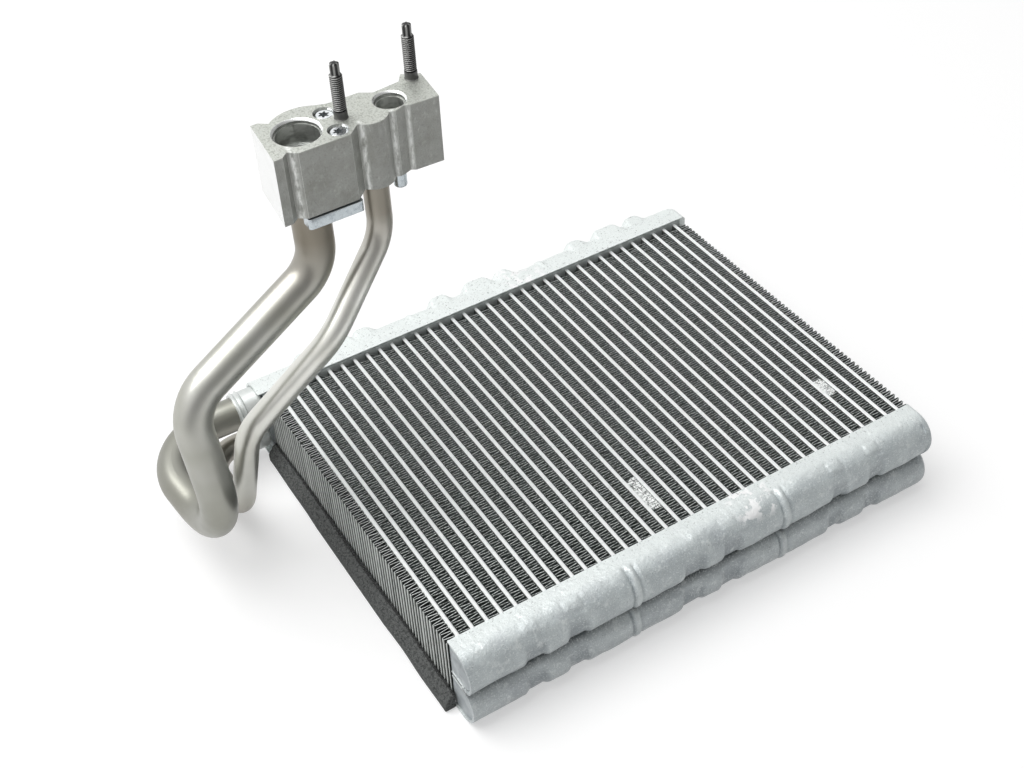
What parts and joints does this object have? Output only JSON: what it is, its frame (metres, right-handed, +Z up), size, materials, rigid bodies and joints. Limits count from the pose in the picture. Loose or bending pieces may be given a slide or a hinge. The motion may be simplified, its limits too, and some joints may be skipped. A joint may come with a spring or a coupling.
{
  "type": "evaporator core",
  "caption": "Evaporator core: a stack of flat tubes and corrugated fins between two double-barrel headers, with bent suction and liquid pipes and a connector block.",
  "frame": {"origin": "bottom centre of the whole part's bounding box, on the face of the core that it lies on", "axes": "+X along the headers, away from the pipes; +Y along the tubes, from the near header to the far header that carries the pipes; +Z up, through the core's depth and out of the connector block's ports"},
  "size_m": [0.3602, 0.2436, 0.2673],
  "materials": {
    "tube_aluminium": "brazed, bright matt",
    "fin_aluminium": "thin coated sheet, grey",
    "header_aluminium": "brazed, matt light grey with flux residue",
    "plate_aluminium": "brazed, whitish matt",
    "pipe_aluminium": "drawn, satin",
    "block_aluminium": "extruded and machined",
    "zinc_plated_steel": "bright zinc",
    "dark_steel": "dark phosphate",
    "foam": "open black foam"
  },
  "bodies": {
    "root": {"tube_01": "tube_aluminium", "tube_02": "tube_aluminium", "tube_03": "tube_aluminium", "tube_04": "tube_aluminium", "tube_05": "tube_aluminium", "tube_06": "tube_aluminium", "tube_07": "tube_aluminium", "tube_08": "tube_aluminium", "tube_09": "tube_aluminium", "tube_10": "tube_aluminium", "tube_11": "tube_aluminium", "tube_12": "tube_aluminium", "tube_13": "tube_aluminium", "tube_14": "tube_aluminium", "tube_15": "tube_aluminium", "tube_16": "tube_aluminium", "tube_17": "tube_aluminium", "tube_18": "tube_aluminium", "tube_19": "tube_aluminium", "tube_20": "tube_aluminium", "tube_21": "tube_aluminium", "tube_22": "tube_aluminium", "tube_23": "tube_aluminium", "tube_24": "tube_aluminium", "tube_25": "tube_aluminium", "tube_26": "tube_aluminium", "tube_27": "tube_aluminium", "tube_28": "tube_aluminium", "tube_29": "tube_aluminium", "tube_30": "tube_aluminium", "tube_31": "tube_aluminium", "tube_32": "tube_aluminium", "tube_33": "tube_aluminium", "tube_34": "tube_aluminium", "tube_35": "tube_aluminium", "left_outer_fin": "fin_aluminium", "right_outer_fin": "fin_aluminium", "inner_fins": "fin_aluminium", "near_tank_cover": "header_aluminium", "far_tank_cover": "header_aluminium", "near_right_cap": "header_aluminium", "far_right_cap": "header_aluminium", "near_header_plate": "plate_aluminium", "far_header_plate": "plate_aluminium", "near_left_cap": "plate_aluminium", "far_left_cap": "plate_aluminium", "near_baffles": "plate_aluminium", "far_baffles": "plate_aluminium", "suction_sleeve": "pipe_aluminium", "liquid_sleeve": "pipe_aluminium", "suction_pipe": "pipe_aluminium", "liquid_pipe": "pipe_aluminium", "connector_block": "block_aluminium", "retainer_fork": "zinc_plated_steel", "retainer_screws": "zinc_plated_steel", "port_plug": "zinc_plated_steel", "stud_near": "dark_steel", "stud_far": "dark_steel", "foam_strip": "foam"}
  },
  "joints": []
}
